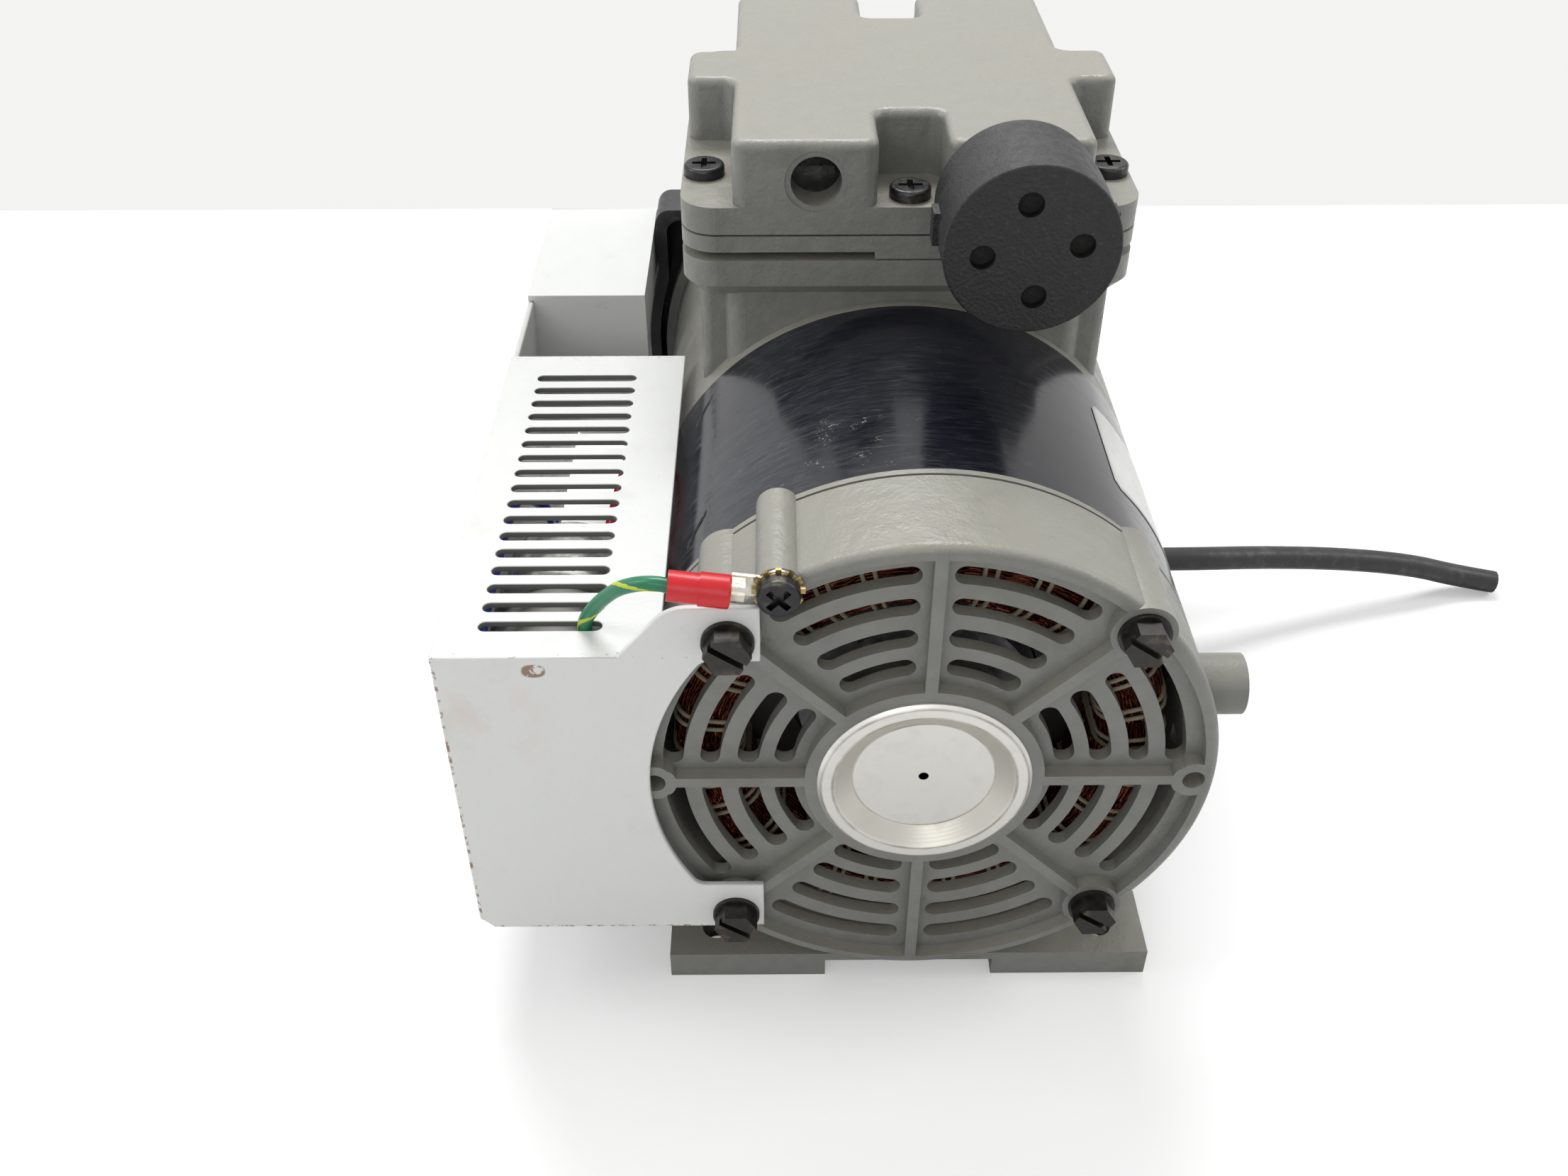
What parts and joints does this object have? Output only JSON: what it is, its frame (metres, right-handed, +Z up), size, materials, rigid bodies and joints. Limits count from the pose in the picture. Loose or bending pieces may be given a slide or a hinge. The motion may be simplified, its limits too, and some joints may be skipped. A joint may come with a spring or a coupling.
{
  "type": "diaphragm vacuum pump",
  "caption": "Mains-motor diaphragm vacuum pump: footed motor, crankcase and rod, diaphragm head with reed valves, intake filter, wiring bracket and cord.",
  "frame": {"origin": "middle of the four foot holes, on the base plane", "axes": "+X to the cord's side, away from the wiring bracket; +Y along the shaft from the motor's end bell to the fan cover; +Z up"},
  "size_m": [0.2871, 0.2102, 0.1729],
  "materials": {
    "cast_paint": "die cast aluminium under satin grey-beige paint",
    "black_paint": "glossy black paint, scratched",
    "white_coat": "white powder coat with rust chips",
    "steel": "plain steel",
    "blackened": "black oxide",
    "zinc": "zinc plated, dull",
    "copper": "enamelled copper wire",
    "aluminium": "bare aluminium",
    "rubber": "moulded black rubber",
    "gasket": "black fibre gasket",
    "black_plastic": "textured black plastic",
    "grey_plastic": "moulded dark plastic",
    "red_plastic": "bright red insulation",
    "green_plastic": "green insulation with a yellow stripe",
    "blue_plastic": "blue insulation",
    "felt": "dark filter felt",
    "brass": "brassy plating"
  },
  "bodies": {
    "pump_body": {"end_bell": "cast_paint", "bearing_cap": "zinc", "front_bearing": "steel", "rear_bearing": "steel", "tail_bearing": "steel", "motor_shell": "black_paint", "stator_core": "steel", "stator_windings": "copper", "diaphragm": "rubber", "valve_plate": "cast_paint", "reed_keepers": "steel", "head_gasket": "gasket", "head_cover": "cast_paint", "head_screws": "blackened", "crankcase": "cast_paint", "through_bolts": "blackened", "fan_cover": "black_plastic", "cover_screws": "zinc", "bracket": "white_coat", "rear_box": "white_coat", "run_capacitor": "black_plastic", "capacitor_clamp": "zinc", "ring_terminal": "zinc", "terminal_sleeve": "red_plastic", "star_washer": "brass", "ground_screw": "blackened", "ground_wire": "green_plastic", "red_lead": "red_plastic", "blue_lead": "blue_plastic", "lead_grommet": "rubber", "cord_gland": "rubber", "power_cord": "rubber", "filter_body": "black_plastic", "filter_cap": "black_plastic", "filter_felt": "felt"},
    "shaft": {"motor_shaft": "steel", "rotor_core": "steel", "rotor_cage": "aluminium", "eccentric": "steel", "counterweight": "steel", "cooling_fan": "grey_plastic"},
    "rod": {"rod_bearing": "steel", "connecting_rod": "aluminium", "clamp_washer": "steel", "clamp_plate": "steel", "clamp_screw": "steel"},
    "exhaust_reed": {"exhaust_reed": "steel"},
    "intake_reed": {"intake_reed": "steel"}
  },
  "joints": [
    {"name": "shaft_spin", "type": "hinge", "parent": "pump_body", "child": "shaft", "pos_m": [0, 0, 0.0654], "axis": [0, 1, 0], "continuous": true},
    {"name": "rod_pivot", "type": "hinge", "parent": "shaft", "child": "rod", "pos_m": [0, 0.0573, 0.0689], "axis": [0, 1, 0], "continuous": true, "deforming": ["diaphragm"]},
    {"name": "exhaust_reed_lift", "type": "hinge", "parent": "pump_body", "child": "exhaust_reed", "pos_m": [-0.022, 0.0473, 0.1424], "axis": [1, 0, 0], "range_deg": [0, 4.3], "stiffness_Nm_per_rad": 0.02},
    {"name": "intake_reed_lift", "type": "hinge", "parent": "pump_body", "child": "intake_reed", "pos_m": [0.022, 0.0473, 0.1402], "axis": [-1, 0, 0], "range_deg": [0, 4.3], "stiffness_Nm_per_rad": 0.02}
  ],
  "couplings": [
    {"joint": "rod_pivot", "follows": "shaft_spin", "ratio": -1}
  ]
}
